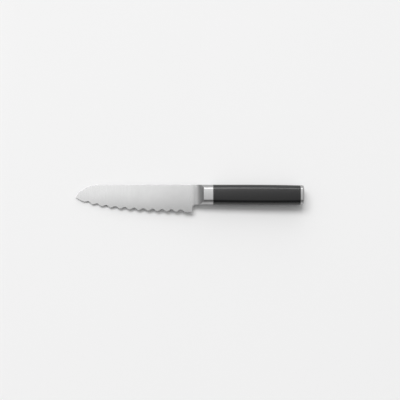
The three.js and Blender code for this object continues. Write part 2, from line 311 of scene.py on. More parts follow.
def black_fibre_composite(composite):
    """Linen laminate in black resin, milled to shape and satin sanded.
    The eye sees a soft charcoal sheen, a fine thread texture and faint layer lines on the facets."""
    material, tree = new_material("black_fibre_composite")
    place = add_node(tree, "ShaderNodeTexCoord").outputs["Object"]
    thread = 0.45 * MM
    thread_run = 4 * thread
    thread_depth = 0.03 * MM
    layer = 0.5 * MM
    warp = add_node(
        tree, "ShaderNodeMapping", {"Vector": place, "Scale": (1 / thread, 1 / thread_run, 1 / layer)}
    )
    weft = add_node(
        tree, "ShaderNodeMapping", {"Vector": place, "Scale": (1 / thread_run, 1 / thread, 1 / layer)}
    )
    warp_noise = add_node(tree, "ShaderNodeTexNoise", {"Vector": warp, "Scale": 1.0, "Detail": 2.0})
    weft_noise = add_node(tree, "ShaderNodeTexNoise", {"Vector": weft, "Scale": 1.0, "Detail": 2.0})
    cloth = add_node(tree, "ShaderNodeMath", {0: warp_noise, 1: weft_noise}, operation="MAXIMUM")
    shade = add_node(
        tree, "ShaderNodeMapRange",
        {"Value": cloth, "From Min": 0.4, "From Max": 0.75, "To Min": 0.88, "To Max": 1.14},
    )
    tint = add_node(tree, "ShaderNodeVectorMath", {0: tuple(composite), "Scale": shade}, operation="SCALE")
    rough = add_node(
        tree, "ShaderNodeMapRange",
        {"Value": cloth, "From Min": 0.4, "From Max": 0.75, "To Min": 0.22, "To Max": 0.17},
    )
    bump = add_node(tree, "ShaderNodeBump", {"Height": cloth, "Strength": 0.12, "Distance": thread_depth})
    shader = add_node(
        tree, "ShaderNodeBsdfPrincipled",
        {"Base Color": tint, "Roughness": rough, "IOR": 1.55, "Normal": bump},
    )
    close_material(tree, shader)
    return material


def turned_steel():
    """Free-cutting steel, turned and lightly oiled.
    The eye sees fine rings round the bar and a grey, slightly uneven sheen."""
    material, tree = new_material("turned_steel")
    place = add_node(tree, "ShaderNodeTexCoord").outputs["Object"]
    feed = 0.12 * MM
    ring_run = 25 * MM
    rings_at = add_node(
        tree, "ShaderNodeMapping", {"Vector": place, "Scale": (1 / feed, 1 / ring_run, 1 / ring_run)}
    )
    rings = add_node(tree, "ShaderNodeTexNoise", {"Vector": rings_at, "Scale": 1.0, "Detail": 1.0})
    shade = add_node(tree, "ShaderNodeMapRange", {"Value": rings, "To Min": 0.85, "To Max": 1.1})
    tint = add_node(
        tree, "ShaderNodeVectorMath", {0: tuple(hex_linear("#9a9c9e")), "Scale": shade}, operation="SCALE"
    )
    rough = add_node(tree, "ShaderNodeMapRange", {"Value": rings, "To Min": 0.32, "To Max": 0.48})
    shader = add_node(
        tree, "ShaderNodeBsdfPrincipled", {"Base Color": tint, "Metallic": 1.0, "Roughness": rough}
    )
    close_material(tree, shader)
    return material


def cast_resin():
    """Amber two-part resin, poured round the tang.
    The eye sees a glossy honey colour with darker streaks where it was stirred."""
    material, tree = new_material("cast_amber_resin")
    place = add_node(tree, "ShaderNodeTexCoord").outputs["Object"]
    streak = 6 * MM
    streaks = add_node(
        tree, "ShaderNodeTexNoise", {"Vector": place, "Scale": 1 / streak, "Detail": 3.0, "Distortion": 1.0}
    )
    tint = add_node(
        tree, "ShaderNodeMix",
        {"Factor": streaks, "A": (*hex_linear("#6b4d1f"), 1), "B": (*hex_linear("#a98445"), 1)},
        data_type="RGBA",
    )
    rough = add_node(tree, "ShaderNodeMapRange", {"Value": streaks, "To Min": 0.2, "To Max": 0.35})
    shader = add_node(
        tree, "ShaderNodeBsdfPrincipled",
        {"Base Color": tint.outputs["Result"], "Roughness": rough, "IOR": 1.55},
    )
    close_material(tree, shader)
    return material


def paper_sweep(floor):
    """Matt studio paper, with a barely visible tooth."""
    material, tree = new_material("studio_paper")
    place = add_node(tree, "ShaderNodeTexCoord").outputs["Object"]
    grain = 0.8 * MM
    tooth = add_node(tree, "ShaderNodeTexNoise", {"Vector": place, "Scale": 1 / grain, "Detail": 2.0})
    shade = add_node(tree, "ShaderNodeMapRange", {"Value": tooth, "To Min": 0.995, "To Max": 1.005})
    tint = add_node(tree, "ShaderNodeVectorMath", {0: tuple(floor), "Scale": shade}, operation="SCALE")
    shader = add_node(tree, "ShaderNodeBsdfDiffuse", {"Color": tint})
    close_material(tree, shader)
    return material


def input_sockets(tree, sockets):
    """Adds named inputs to a node tree and returns its group input node and the identifiers by name."""
    identifiers = {}
    for name, kind in sockets.items():
        identifiers[name] = tree.interface.new_socket(name, in_out="INPUT", socket_type=kind).identifier
    tree.interface.new_socket("Geometry", in_out="OUTPUT", socket_type="NodeSocketGeometry")
    return tree.nodes.new("NodeGroupInput").outputs, identifiers


def close_geometry(tree, result, material):
    """Ends a geometry tree in plain geometry with its material."""
    plain = add_node(tree, "GeometryNodeRealizeInstances", {0: result})
    dressed = add_node(tree, "GeometryNodeSetMaterial", {"Geometry": plain, "Material": material})
    add_node(tree, "NodeGroupOutput", {0: dressed})


def wave_tree():
    """Lays the serration waves into a plain edge line that runs from the heel to the tip."""
    tree = bpy.data.node_groups.new("serration_waves", "GeometryNodeTree")
    given, identifiers = input_sockets(tree, {
        "Geometry": "NodeSocketGeometry",
        "Steps": "NodeSocketInt",
        "Pitch": "NodeSocketFloat",
        "Waves": "NodeSocketInt",
        "Plain heel": "NodeSocketFloat",
        "Heel depth": "NodeSocketFloat",
        "Tip depth": "NodeSocketFloat",
        "Material": "NodeSocketMaterial",
    })
    line = add_node(tree, "GeometryNodeMeshToCurve", {0: given["Geometry"]})
    fine = add_node(tree, "GeometryNodeResampleCurve", {"Curve": line, "Count": given["Steps"]})
    along = add_node(tree, "GeometryNodeSplineParameter").outputs
    run = add_node(tree, "ShaderNodeMath", {0: along["Length"], 1: given["Plain heel"]}, operation="SUBTRACT")
    phase = add_node(tree, "ShaderNodeMath", {0: run, 1: given["Pitch"]}, operation="DIVIDE")
    inside = add_node(tree, "ShaderNodeClamp", {"Value": phase, "Min": 0.0, "Max": given["Waves"]})
    turn = add_node(tree, "ShaderNodeMath", {0: inside, 1: 2 * math.pi}, operation="MULTIPLY")
    crest = add_node(tree, "ShaderNodeMath", {0: turn}, operation="COSINE")
    notch = add_node(tree, "ShaderNodeMath", {0: crest, 1: -0.5, 2: 0.5}, operation="MULTIPLY_ADD")
    depth = add_node(
        tree, "ShaderNodeMix", {"Factor": along["Factor"], "A": given["Heel depth"], "B": given["Tip depth"]}
    )
    cut = add_node(tree, "ShaderNodeMath", {0: notch, 1: depth}, operation="MULTIPLY")
    tangent = add_node(tree, "ShaderNodeSeparateXYZ", {0: add_node(tree, "GeometryNodeInputTangent")}).outputs
    back = add_node(tree, "ShaderNodeMath", {0: tangent["X"], 1: -1.0}, operation="MULTIPLY")
    inward = add_node(tree, "ShaderNodeCombineXYZ", {"X": tangent["Y"], "Y": back})
    step = add_node(tree, "ShaderNodeVectorMath", {0: inward, "Scale": cut}, operation="SCALE")
    waved = add_node(tree, "GeometryNodeSetPosition", {"Geometry": fine, "Offset": step})
    close_geometry(tree, add_node(tree, "GeometryNodeCurveToMesh", {0: waved}), given["Material"])
    return tree, identifiers


def sweep_tree():
    """Sweeps a handle section along the knife. The section carries its front, swell and rear forms as
    attributes, and each station mixes them by how full the handle is there."""
    tree = bpy.data.node_groups.new("handle_sweep", "GeometryNodeTree")
    given, identifiers = input_sockets(tree, {
        "Geometry": "NodeSocketGeometry",
        "Front": "NodeSocketFloat",
        "Rear": "NodeSocketFloat",
        "Swell place": "NodeSocketFloat",
        "Stations": "NodeSocketInt",
        "Axis": "NodeSocketVector",
        "Butt drop": "NodeSocketFloat",
        "Material": "NodeSocketMaterial",
    })
    section = add_node(tree, "GeometryNodeMeshToCurve", {0: given["Geometry"]})
    start = add_node(tree, "ShaderNodeCombineXYZ", {"X": given["Front"]})
    end = add_node(tree, "ShaderNodeCombineXYZ", {"X": given["Rear"]})
    line = add_node(tree, "GeometryNodeCurvePrimitiveLine", {"Start": start, "End": end})
    path = add_node(tree, "GeometryNodeResampleCurve", {"Curve": line, "Count": given["Stations"]})
    tube = add_node(tree, "GeometryNodeCurveToMesh", {0: path, 1: section, "Fill Caps": True})
    position = add_node(tree, "GeometryNodeInputPosition")
    here = add_node(tree, "ShaderNodeSeparateXYZ", {0: position}).outputs["X"]
    before = add_node(
        tree, "ShaderNodeMapRange",
        {
            "Value": here, "From Min": given["Front"], "From Max": given["Swell place"],
            "To Min": 1.0, "To Max": 0.0,
        },
    )
    after = add_node(
        tree, "ShaderNodeMapRange",
        {"Value": here, "From Min": given["Swell place"], "From Max": given["Rear"]},
    )
    before_squared = add_node(tree, "ShaderNodeMath", {0: before, 1: 2.0}, operation="POWER")
    after_squared = add_node(tree, "ShaderNodeMath", {0: after, 1: 2.0}, operation="POWER")
    forms = {
        name: add_node(tree, "GeometryNodeInputNamedAttribute", {"Name": name}, data_type="FLOAT_VECTOR")
        for name in ("front_form", "swell_form", "rear_form")
    }
    fronted = add_node(
        tree, "ShaderNodeMix",
        {"Factor": before_squared, 4: forms["swell_form"], 5: forms["front_form"]}, data_type="VECTOR",
    )
    formed = add_node(
        tree, "ShaderNodeMix",
        {"Factor": after_squared, 4: fronted.outputs[1], 5: forms["rear_form"]}, data_type="VECTOR",
    )
    share = add_node(
        tree, "ShaderNodeMapRange", {"Value": here, "From Min": given["Front"], "From Max": given["Rear"]}
    )
    fall = add_node(tree, "ShaderNodeMath", {0: share, 1: given["Butt drop"]}, operation="MULTIPLY")
    lower = add_node(tree, "ShaderNodeMath", {0: fall, 1: -1.0}, operation="MULTIPLY")
    shift = add_node(tree, "ShaderNodeCombineXYZ", {"X": here, "Y": lower})
    centred = add_node(
        tree, "ShaderNodeVectorMath", {0: formed.outputs[1], 1: given["Axis"]}, operation="ADD"
    )
    placed = add_node(tree, "ShaderNodeVectorMath", {0: centred, 1: shift}, operation="ADD")
    swept = add_node(tree, "GeometryNodeSetPosition", {"Geometry": tube, "Position": placed})
    close_geometry(tree, swept, given["Material"])
    return tree, identifiers


def link_object(name, data):
    """Object of a mesh, camera or light, linked to the scene."""
    made = bpy.data.objects.new(name, data)
    bpy.context.scene.collection.objects.link(made)
    return made


def drop_object(obj):
    """Deletes a helper object and its mesh."""
    mesh = obj.data
    bpy.data.objects.remove(obj)
    bpy.data.meshes.remove(mesh)


def plain_copy(obj, name):
    """Replaces an object's mesh by its evaluated result and drops its modifiers."""
    bpy.context.view_layer.update()
    evaluated = obj.evaluated_get(bpy.context.evaluated_depsgraph_get())
    mesh = bpy.data.meshes.new_from_object(evaluated)
    obj.modifiers.clear()
    old = obj.data
    obj.data = mesh
    bpy.data.meshes.remove(old)
    mesh.name = name
    return obj


def run_tree(name, base, tree, identifiers, values):
    """Object whose mesh is what a geometry tree makes of a base mesh."""
    made = link_object(name, base)
    modifier = made.modifiers.new("shape", "NODES")
    modifier.node_group = tree
    for key, value in values.items():
        modifier[identifiers[key]] = value
    return plain_copy(made, name)


def mesh_from(name, points, faces, edges=()):
    mesh = bpy.data.meshes.new(name)
    mesh.from_pydata([tuple(p) for p in points], list(edges), [tuple(f) for f in faces])
    return mesh


def shade_smooth(shape):
    """Smooth shading with crisp edges past the crease angle, all faces turned outwards."""
    bmesh.ops.recalc_face_normals(shape, faces=shape.faces)
    for face in shape.faces:
        face.smooth = True
    for edge in shape.edges:
        if len(edge.link_faces) == 2 and edge.calc_face_angle() > CREASE_ANGLE:
            edge.smooth = False


def merge_and_smooth(obj):
    """Merges doubled points of a piece and shades it smooth."""
    same_place = 0.0005 * MM
    shape = bmesh.new()
    shape.from_mesh(obj.data)
    bmesh.ops.remove_doubles(shape, verts=shape.verts, dist=same_place)
    shade_smooth(shape)
    shape.to_mesh(obj.data)
    shape.free()


def box_cutter(low, high):
    """Box between two corners."""
    corners = [(x, y, z) for x in (low[0], high[0]) for y in (low[1], high[1]) for z in (low[2], high[2])]
    faces = [(0, 1, 3, 2), (4, 6, 7, 5), (0, 4, 5, 1), (2, 3, 7, 6), (0, 2, 6, 4), (1, 5, 7, 3)]
    return link_object("cutter", mesh_from("cutter", corners, faces))


def round_cutter(radius, start, end, segments):
    """Round bar between two points, along X or along Y."""
    axis = Vector(end) - Vector(start)
    side = Vector((0, 0, 1))
    across = axis.normalized().cross(side)
    points = []
    for centre in (Vector(start), Vector(end)):
        for step in range(segments):
            turn = 2 * math.pi * step / segments
            points.append(centre + radius * (math.cos(turn) * side + math.sin(turn) * across))
    faces = [
        (i, (i + 1) % segments, segments + (i + 1) % segments, segments + i) for i in range(segments)
    ]
    faces.append(tuple(reversed(range(segments))))
    faces.append(tuple(range(segments, 2 * segments)))
    made = link_object("cutter", mesh_from("cutter", points, faces))
    shape = bmesh.new()
    shape.from_mesh(made.data)
    bmesh.ops.recalc_face_normals(shape, faces=shape.faces)
    shape.to_mesh(made.data)
    shape.free()
    return made


def carve(obj, cutters, operation="DIFFERENCE"):
    """Cuts pieces out of an object, or joins them to it, and deletes them."""
    for cutter in cutters:
        modifier = obj.modifiers.new("cut", "BOOLEAN")
        modifier.operation = operation
        modifier.solver = "EXACT"
        modifier.object = cutter
    plain_copy(obj, obj.data.name)
    for cutter in cutters:
        drop_object(cutter)


def corner(before, at, after, steps):
    """Points of an eased corner, a quadratic curve."""
    points = []
    for step in range(steps + 1):
        t = step / steps
        points.append(before * (1 - t) ** 2 + at * 2 * t * (1 - t) + after * t ** 2)
    return points


def handle_quarter(height, flat, handle, steel, inset):
    """Quarter of a handle section, from the middle of the flat to the middle of the flank, as (y, z)."""
    bulge = handle.steel_bulge if steel else handle.facet_bulge
    arris = handle.steel_arris if steel else handle.arris_soft
    crown = handle.steel_crown if steel else handle.flat_crown
    half = height / 2 - inset
    top = HALF_HANDLE - inset
    half_flat = flat / 2 - inset * 0.5
    flat_end = Vector((half_flat, top - crown))
    flank_end = Vector((half, handle.flank_width / 2))
    chord = flank_end - flat_end
    outward = Vector((-chord.y, chord.x)).normalized()

    def facet(t):
        return flat_end + chord * t + outward * (4 * bulge * t * (1 - t))

    def crowned(y):
        return Vector((y, top - crown * (y / half_flat) ** 2))

    arris_t = arris / chord.length
    flank_t = 1 - handle.flank_soft / chord.length
    flank_start = Vector((half, handle.flank_width / 2 - handle.flank_soft))
    flat_steps = 10
    facet_steps = 9
    corner_steps = 7
    points = [crowned((half_flat - arris) * step / flat_steps) for step in range(flat_steps)]
    points += corner(crowned(half_flat - arris), flat_end, facet(arris_t), corner_steps)
    for step in range(1, facet_steps):
        points.append(facet(arris_t + (flank_t - arris_t) * step / facet_steps))
    points += corner(facet(flank_t), flank_end, flank_start, corner_steps)
    points.append(Vector((half, 0)))
    return points


def handle_section(height, flat, handle, steel=False, inset=0.0):
    """Whole section of the grip or of a steel piece, counter-clockwise seen from the butt, as (y, z)."""
    quarter = handle_quarter(height, flat, handle, steel, inset)
    upper = [(-p.x, p.y) for p in quarter[:0:-1]] + [(p.x, p.y) for p in quarter]
    lower = [(y, -z) for y, z in upper[-2:0:-1]]
    return upper + lower


def section_mesh(name, sections):
    """Closed section line that carries its three forms as attributes."""
    swell = sections[1]
    count = len(swell)
    ring = [(i, (i + 1) % count) for i in range(count)]
    mesh = mesh_from(name, [(y, z, 0) for y, z in swell], [], ring)
    for label, section in zip(("front_form", "swell_form", "rear_form"), sections):
        layer = mesh.attributes.new(label, "FLOAT_VECTOR", "POINT")
        for item, (y, z) in zip(layer.data, section):
            item.vector = (0, y, z)
    return mesh


def ease_rims(obj, handle):
    """Eases the rims where a swept piece meets its neighbours."""
    rim_angle = math.radians(60)
    modifier = obj.modifiers.new("rims", "BEVEL")
    modifier.width = handle.edge_break
    modifier.segments = 2
    modifier.limit_method = "ANGLE"
    modifier.angle_limit = rim_angle
    plain_copy(obj, obj.data.name)


def belly_line(blade, heel_x):
    """Plain edge curve from the heel to the tip."""
    heel = Vector((heel_x, HEEL_Y))
    tip = Vector((TIP_X, SPINE_Y - blade.tip_drop))
    near_heel = heel + blade.heel_pull * Vector((-math.cos(blade.heel_angle), math.sin(blade.heel_angle)))
    near_tip = tip + blade.tip_pull * Vector((math.cos(blade.tip_angle), -math.sin(blade.tip_angle)))
    count = 240
    return geometry.interpolate_bezier(
        heel.to_3d(), near_heel.to_3d(), near_tip.to_3d(), tip.to_3d(), count
    )


class BladeForm:
    """Outline and thickness of the blade, worked out from its settings and the frame."""

    def __init__(self, blade, handle):
        self.blade = blade
        self.heel_x = TIP_X + blade.edge_length
        self.shoulder_x = BOLSTER_HIGH.x - handle.collar_length
        self.lip_x = BOLSTER_LOW.x
        rise = HALF_HANDLE - HALF_SPINE
        self.scoop_radius = (handle.scoop_length ** 2 + rise ** 2) / (2 * rise)
        self.scoop_x = self.shoulder_x - handle.scoop_length
        self.edge_run = []
        self.edge_inward = []

    def measure_edge(self, plain_points):
        """Keeps the distance along the plain edge and the way into the blade, for each of its points."""
        self.edge_run = [0.0]
        for a, b in zip(plain_points, plain_points[1:]):
            self.edge_run.append(self.edge_run[-1] + (b - a).length)
        last = len(plain_points) - 1
        for i in range(last + 1):
            along = (plain_points[min(i + 1, last)] - plain_points[max(i - 1, 0)]).normalized()
            self.edge_inward.append(Vector((along.y, -along.x)))

    def half(self, x, y):
        """Half thickness: a convex grind in front, the foot of the scoop on the neck, then the plain tang."""
        blade = self.blade
        tip_share = (self.heel_x - x) / blade.edge_length
        edge_share = max((SPINE_Y - y) / (SPINE_Y - HEEL_Y), 0)
        tip_loss = (HALF_SPINE - blade.tip_thickness / 2) * tip_share
        edge_loss = (HALF_SPINE - blade.edge_thickness / 2) * edge_share ** blade.grind_power
        ground = HALF_SPINE - tip_loss - edge_loss
        if x >= self.lip_x:
            return HALF_SPINE
        past = max(x - self.scoop_x, 0)
        t = past / (self.lip_x - self.scoop_x)
        eased = t * t * (3 - 2 * t)
        scoop = self.scoop_radius - math.sqrt(self.scoop_radius ** 2 - past ** 2)
        return ground + (HALF_SPINE - ground) * eased + scoop

    def spine_line(self):
        """Points from just behind the tip over the nose and along the spine to the bolster."""
        blade = self.blade
        drop = blade.nose_radius - blade.tip_drop
        nose_x = TIP_X + math.sqrt(blade.nose_radius ** 2 - drop ** 2)
        centre = Vector((nose_x, SPINE_Y - blade.nose_radius))
        start = math.atan2(drop, TIP_X - nose_x)
        arc_steps = 60
        line = []
        for step in range(1, arc_steps + 1):
            turn = start + (math.pi / 2 - start) * step / arc_steps
            line.append(centre + blade.nose_radius * Vector((math.cos(turn), math.sin(turn))))
        straight_steps = 60
        for step in range(1, straight_steps + 1):
            line.append(Vector((nose_x + (self.lip_x - nose_x) * step / straight_steps, SPINE_Y)))
        return line

    def choil_line(self):
        """Points from the neck through the hollow down to the heel corner."""
        radius = self.blade.choil_radius
        centre = Vector((self.heel_x + radius, NECK_Y - radius))
        steps = 16
        line = []
        for step in range(steps + 1):
            turn = math.pi / 2 * (1 + step / steps)
            line.append(centre + radius * Vector((math.cos(turn), math.sin(turn))))
        low = line[-1]
        heel = Vector((self.heel_x, HEEL_Y))
        heel_steps = 5
        line += [low.lerp(heel, step / heel_steps) for step in range(1, heel_steps)]
        return line

    def tang_line(self, handle):
        """Points round the shoulder, the tang and its tongue, from the spine to the neck's underside."""
        tang_end = RESIN_HIGH.x + RESIN_LOW.x - GRIP_LOW.x
        upper = [
            Vector((self.shoulder_x, SPINE_Y)),
            Vector((self.shoulder_x, AXIS_Y + handle.tang_height / 2)),
            Vector((tang_end, AXIS_Y + handle.tang_height / 2)),
            Vector((tang_end, AXIS_Y + handle.tongue_height / 2)),
            Vector((BLADE_HIGH.x, AXIS_Y + handle.tongue_height / 2)),
        ]
        lower = [Vector((p.x, 2 * AXIS_Y - p.y)) for p in reversed(upper[1:])]
        return upper + lower + [Vector((self.shoulder_x, NECK_Y)), Vector((self.lip_x, NECK_Y))]


def triangles_inside(outline, inner, creases):
    """Triangulates an outline with inner points; returns places, triangles and each input's new index."""
    count = len(outline)
    edges = [(i, (i + 1) % count) for i in range(count)]
    edges += [(count + a, count + b) for a, b in creases]
    places, _, faces, origins, _, _ = geometry.delaunay_2d_cdt(outline + inner, edges, [], 1, 1e-7)
    index = {}
    for new, olds in enumerate(origins):
        for old in olds:
            index[old] = new
    return places, faces, index


def inner_grid(form, tree, clear):
    """Evenly spread points over the blade that keep clear of the points in a tree."""
    pitch = 2.2 * MM
    points = []
    columns = int((form.lip_x - TIP_X) / pitch)
    rows = int((SPINE_Y - HEEL_Y) / pitch)
    for column in range(1, columns):
        for row in range(1, rows):
            stagger = 0.5 * pitch * (row % 2)
            point = Vector((TIP_X + column * pitch + stagger, HEEL_Y + row * pitch))
            if point.x < form.lip_x - clear and tree.find(point.to_3d())[2] > clear:
                points.append(point)
    return points


def point_tree(points):
    tree = kdtree.KDTree(len(points))
    for i, point in enumerate(points):
        tree.insert(point.to_3d(), i)
    tree.balance()
    return tree


def spine_rows(form, spine):
    """Points beside the spine line that round its edge, each with its depth below the line."""
    # Shares of the rounding: at 30, 60 and 90 degrees of its arc, and one row on the flat behind it
    arc_shares = (0.134, 0.5, 1.0, 3.0)
    rows = []
    for share in arc_shares:
        depth = form.blade.spine_round * share
        for i in range(1, len(spine)):
            ahead = spine[min(i + 1, len(spine) - 1)]
            along = (ahead - spine[i - 1]).normalized()
            rows.append((spine[i] + depth * Vector((along.y, -along.x)), depth))
    return rows


def neck_points(form):
    """Columns of points over the foot of the scoop, with a close pair at the bolster's lip."""
    joint = 0.02 * MM
    column_steps = 12
    row_steps = 14
    run = form.lip_x - joint - form.scoop_x
    columns = [form.scoop_x + run * step / column_steps for step in range(column_steps + 1)]
    columns.append(form.lip_x + joint)
    rows = [NECK_Y + (SPINE_Y - NECK_Y) * step / row_steps for step in range(1, row_steps)]
    return [Vector((x, y)) for x in columns for y in rows]


def serration_grind(form, edge):
    """Points of the waved edge that are ground, and the middle and back rows of the grind at them."""
    blade = form.blade
    tip_clear = 3 * MM
    heel_clear = 0.2 * MM
    ground, middle, back = [], [], []
    for point, run, inward in zip(edge, form.edge_run, form.edge_inward):
        phase = min(max((run - blade.heel_plain) / blade.wave_pitch, 0), blade.wave_count)
        notch = abs(math.sin(math.pi * phase))
        width = blade.tooth_bevel + (blade.notch_bevel - blade.tooth_bevel) * notch
        behind = point + inward * width
        if behind.x > TIP_X + tip_clear and point.x < form.heel_x - heel_clear:
            ground.append(point)
            middle.append(point + inward * width * 0.5)
            back.append(behind)
    return ground, middle, back


def clear_of_grind(grid, ground, middle, back):
    """Points of a grid that lie behind the serration grind and not close to its rows."""
    clear = 0.7 * MM
    near_rows = point_tree(back + middle)
    kept = []
    for point in grid:
        _, which, distance = near_rows.find(point.to_3d())
        at = which % len(back)
        width = (back[at] - ground[at]).length
        if distance > clear and (point - ground[at]).length > width:
            kept.append(point)
    return kept


def blade_mesh(form, handle, edge):
    """Closed blade: a plain upper face, and a lower face with the serration grind."""
    blade = form.blade
    spine = form.spine_line()
    outline = spine + form.tang_line(handle) + form.choil_line() + edge
    count = len(outline)
    edge_start = count - len(edge)
    rounded = spine_rows(form, spine)
    spine_and_neck = [point for point, _ in rounded] + neck_points(form)
    ground, middle, back = serration_grind(form, edge)
    grid_clear = 0.9 * MM
    grid = inner_grid(form, point_tree(outline + spine_and_neck), grid_clear)

    depth_of = {i: 0.0 for i in range(len(spine))}
    depth_of.update({count + i: depth for i, (_, depth) in enumerate(rounded)})

    def face_z(place, depth):
        half = form.half(place.x, place.y)
        radius = blade.spine_round
        if depth is None or depth >= radius:
            return half
        return half - radius + math.sqrt(radius ** 2 - (radius - depth) ** 2)

    up_places, up_faces, up_index = triangles_inside(outline, spine_and_neck + grid, [])
    up_z = [None] * len(up_places)
    for old, new in up_index.items():
        up_z[new] = face_z(up_places[new], depth_of.get(old))

    low_inner = spine_and_neck + back + middle + clear_of_grind(grid, ground, middle, back)
    first_back = len(spine_and_neck)
    creases = [(first_back + i, first_back + i + 1) for i in range(len(back) - 1)]
    low_places, low_faces, low_index = triangles_inside(outline, low_inner, creases)
    first_middle = count + first_back + len(back)
    low_z = [None] * len(low_places)
    for old, new in low_index.items():
        place = low_places[new]
        if edge_start <= old < count:
            low_z[new] = form.half(place.x, place.y) - blade.edge_land
        elif first_middle <= old < first_middle + len(middle):
            low_z[new] = -blade.edge_land / 2
        else:
            low_z[new] = -face_z(place, depth_of.get(old))

    shape = bmesh.new()
    up_verts = [shape.verts.new((p.x, p.y, AXIS_Z + z)) for p, z in zip(up_places, up_z)]
    low_verts = [shape.verts.new((p.x, p.y, AXIS_Z + z)) for p, z in zip(low_places, low_z)]
    for face in up_faces:
        shape.faces.new([up_verts[i] for i in face])
    for face in low_faces:
        shape.faces.new([low_verts[i] for i in reversed(face)])
    for i in range(count):
        after = (i + 1) % count
        shape.faces.new((
            up_verts[up_index[i]], low_verts[low_index[i]],
            low_verts[low_index[after]], up_verts[up_index[after]],
        ))
    shade_smooth(shape)
    crease_verts = [low_verts[low_index[count + first_back + i]] for i in range(len(back))]
    for a, b in zip(crease_verts, crease_verts[1:]):
        crease = shape.edges.get((a, b))
        if crease:
            crease.smooth = False
    mesh = bpy.data.meshes.new("knife_blade")
    shape.to_mesh(mesh)
    shape.free()
    return mesh


def make_floor(stage, handle):
    """Paper that slopes only under the knife, from the point under the collar, and lies level round it."""
    under_collar = BOLSTER_HIGH.x - handle.collar_length
    rise = stage.slope_reach * math.tan(stage.blade_slope)
    fall = stage.slope_reach * math.tan(stage.handle_slope)
    profile = (
        (-PAPER_REACH, rise),
        (under_collar - stage.slope_reach, rise),
        (under_collar, 0.0),
        (under_collar + stage.slope_reach, -fall),
        (PAPER_REACH, -fall),
    )
    points = [(x, y, z) for x, z in profile for y in (-PAPER_REACH, PAPER_REACH)]
    strips = [(i, i + 2, i + 3, i + 1) for i in range(0, len(points) - 2, 2)]
    floor = link_object("floor", mesh_from("floor", points, strips))
    floor.data.materials.append(paper_sweep(stage.floor))


def make_camera(stage):
    """Camera above the knife, leaning towards the edge side."""
    camera = link_object("camera", bpy.data.cameras.new("camera"))
    camera.data.sensor_width = 36.0
    camera.data.lens = camera.data.sensor_width * stage.camera_distance / stage.view_width
    lean = stage.camera_lean
    away = Vector((0, -math.sin(lean), math.cos(lean))) * stage.camera_distance
    camera.location = Vector((stage.camera_x, stage.camera_y, AXIS_Z)) + away
    camera.rotation_euler = (lean, 0, 0)
    bpy.context.scene.camera = camera


def make_window(stage):
    """Broad window light on the spine side."""
    window = link_object("window_light", bpy.data.lights.new("window_light", "AREA"))
    window.data.shape = "RECTANGLE"
    window.data.size = stage.window_width
    window.data.size_y = stage.window_height
    window.data.energy = stage.window_power
    window.location = WINDOW_WAY * stage.window_distance + Vector((stage.window_shift, 0, 0))
    window.rotation_euler = (-WINDOW_WAY).to_track_quat("-Z", "Y").to_euler()


def make_room(stage):
    """White room with an even level and a few soft glows."""
    world = bpy.data.worlds.new("room")
    world.use_nodes = True
    tree = world.node_tree
    tree.nodes.clear()
    way = add_node(tree, "ShaderNodeTexCoord").outputs["Generated"]
    level = add_node(tree, "ShaderNodeValue")
    level.outputs[0].default_value = ROOM_LEVEL
    for bright_way, tightness, amount in ROOM_GLOWS:
        brightest = Vector(bright_way).normalized()
        facing = add_node(tree, "ShaderNodeVectorMath", {0: way, 1: brightest}, operation="DOT_PRODUCT")
        falloff = add_node(
            tree, "ShaderNodeMath", {0: facing.outputs["Value"], 1: tightness, 2: -tightness},
            operation="MULTIPLY_ADD",
        )
        glow = add_node(tree, "ShaderNodeMath", {0: falloff}, operation="EXPONENT")
        level = add_node(tree, "ShaderNodeMath", {0: glow, 1: amount, 2: level}, operation="MULTIPLY_ADD")
    strength = add_node(tree, "ShaderNodeMath", {0: level, 1: stage.sky_strength}, operation="MULTIPLY")
    sky = add_node(tree, "ShaderNodeBackground", {"Color": (1, 1, 1, 1), "Strength": strength})
    add_node(tree, "ShaderNodeOutputWorld", {"Surface": sky})
    bpy.context.scene.world = world


def dowel_cutters(handle, start_x, end_x):
    """Round bars for the holes of the two dowels."""
    radius = DOWEL_RADIUS + handle.dowel_gap
    segments = 32
    return [
        round_cutter(radius, (start_x, centre.y, centre.z), (end_x, centre.y, centre.z), segments)
        for centre in DOWEL_CENTRES
    ]


def settings():
    """Settings of the blade, the handle and the stage."""
    return bpy.context.scene.knife_blade, bpy.context.scene.knife_handle, bpy.context.scene.knife_stage


def hand_over(piece, node):
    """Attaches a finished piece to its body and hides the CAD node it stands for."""
    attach(piece, BODY)
    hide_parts(node)


class KNIFE_OT_stage(bpy.types.Operator):
    """Set up the floor, the light and the overhead camera"""
    bl_idname = "knife.stage"
    bl_label = "Stage"

    def execute(self, context):
        _, handle, stage = settings()
        context.scene.view_settings.view_transform = "Standard"
        make_floor(stage, handle)
        make_camera(stage)
        make_window(stage)
        make_room(stage)
        return {"FINISHED"}


